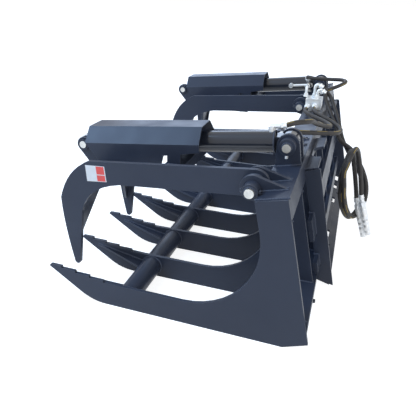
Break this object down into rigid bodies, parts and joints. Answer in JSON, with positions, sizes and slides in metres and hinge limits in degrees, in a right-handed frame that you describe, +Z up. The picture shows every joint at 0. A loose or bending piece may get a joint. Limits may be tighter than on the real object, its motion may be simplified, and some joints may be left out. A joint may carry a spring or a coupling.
{
  "type": "root grapple",
  "caption": "Skeletal root grapple for a compact loader: leaning tine frame, two claw arms under folded covers, a hydraulic cylinder over each, hoses to quick couplers, slotted loader mount.",
  "frame": {"origin": "on the floor plane, under the middle of the bounding box without the hoses and couplers", "axes": "+X across to the right side, +Y rearward to the loader mount, +Z up"},
  "size_m": [1.828, 1.1513, 0.6409],
  "materials": {
    "paint": "gloss powder coat",
    "zinc": "zinc plate",
    "chrome": "hard chrome",
    "rubber": "matt"
  },
  "bodies": {
    "frame": {"side_plate_right": "paint", "side_plate_left": "paint", "tine_1": "paint", "tine_2": "paint", "tine_3": "paint", "tine_4": "paint", "tine_5": "paint", "tine_6": "paint", "tine_7": "paint", "front_tube": "paint", "top_beam": "paint", "bottom_beam": "paint", "rail_upper": "paint", "rail_lower": "paint", "mount_end_right": "paint", "mount_end_left": "paint", "top_lip_right": "paint", "top_lip_left": "paint", "shelf_front_bar": "paint", "shelf_rear_bar": "paint", "shelf_ties": "paint", "pivot_lugs_right": "paint", "pivot_lugs_left": "paint", "cylinder_ears_right": "paint", "cylinder_ears_left": "paint", "pivot_pins_right": "zinc", "pivot_pins_left": "zinc", "base_pin_right": "zinc", "base_pin_left": "zinc", "manifold": "zinc", "manifold_fittings": "zinc", "hose_right_a": "rubber", "hose_right_b": "rubber", "hose_left_a": "rubber", "hose_left_b": "rubber", "main_hose_1": "rubber", "main_hose_2": "rubber", "coupler_1": "zinc", "coupler_2": "zinc"},
    "right_claw": {"claw_outer_right": "paint", "claw_inner_right": "paint", "claw_web_right": "paint", "claw_crossbar_right": "paint", "claw_lugs_right": "paint", "claw_cover_right": "paint", "rod_pin_right": "zinc"},
    "right_barrel": {"barrel_right": "paint", "ports_right": "zinc"},
    "right_rod": {"rod_right": "chrome"},
    "left_claw": {"claw_outer_left": "paint", "claw_inner_left": "paint", "claw_web_left": "paint", "claw_crossbar_left": "paint", "claw_lugs_left": "paint", "claw_cover_left": "paint", "rod_pin_left": "zinc"},
    "left_barrel": {"barrel_left": "paint", "ports_left": "zinc"},
    "left_rod": {"rod_left": "chrome"}
  },
  "joints": [
    {"name": "right_claw_hinge", "type": "hinge", "parent": "frame", "child": "right_claw", "pos_m": [0.566, 0.23891, 0.49596], "axis": [-1, 0, 0], "range_deg": [-4, 45]},
    {"name": "right_barrel_hinge", "type": "hinge", "parent": "frame", "child": "right_barrel", "pos_m": [0.566, 0.30591, 0.57046], "axis": [-1, 0, 0], "range_deg": [-3.8, 42.1], "deforming": ["hose_right_a", "hose_right_b"]},
    {"name": "right_rod_slide", "type": "slide", "parent": "right_barrel", "child": "right_rod", "axis": [0, -0.9934, -0.1145], "range_m": [-0.0669, 0.006]},
    {"name": "left_claw_hinge", "type": "hinge", "parent": "frame", "child": "left_claw", "pos_m": [-0.566, 0.23891, 0.49596], "axis": [-1, 0, 0], "range_deg": [-4, 45]},
    {"name": "left_barrel_hinge", "type": "hinge", "parent": "frame", "child": "left_barrel", "pos_m": [-0.566, 0.30591, 0.57046], "axis": [-1, 0, 0], "range_deg": [-3.8, 42.1], "deforming": ["hose_left_a", "hose_left_b"]},
    {"name": "left_rod_slide", "type": "slide", "parent": "left_barrel", "child": "left_rod", "axis": [0, -0.9934, -0.1145], "range_m": [-0.0669, 0.006]}
  ],
  "couplings": [
    {"joint": "right_barrel_hinge", "follows": "right_claw_hinge", "ratio": 0.933},
    {"joint": "right_rod_slide", "follows": "right_claw_hinge", "m_per_rad": -0.085},
    {"joint": "left_barrel_hinge", "follows": "left_claw_hinge", "ratio": 0.933},
    {"joint": "left_rod_slide", "follows": "left_claw_hinge", "m_per_rad": -0.085}
  ]
}
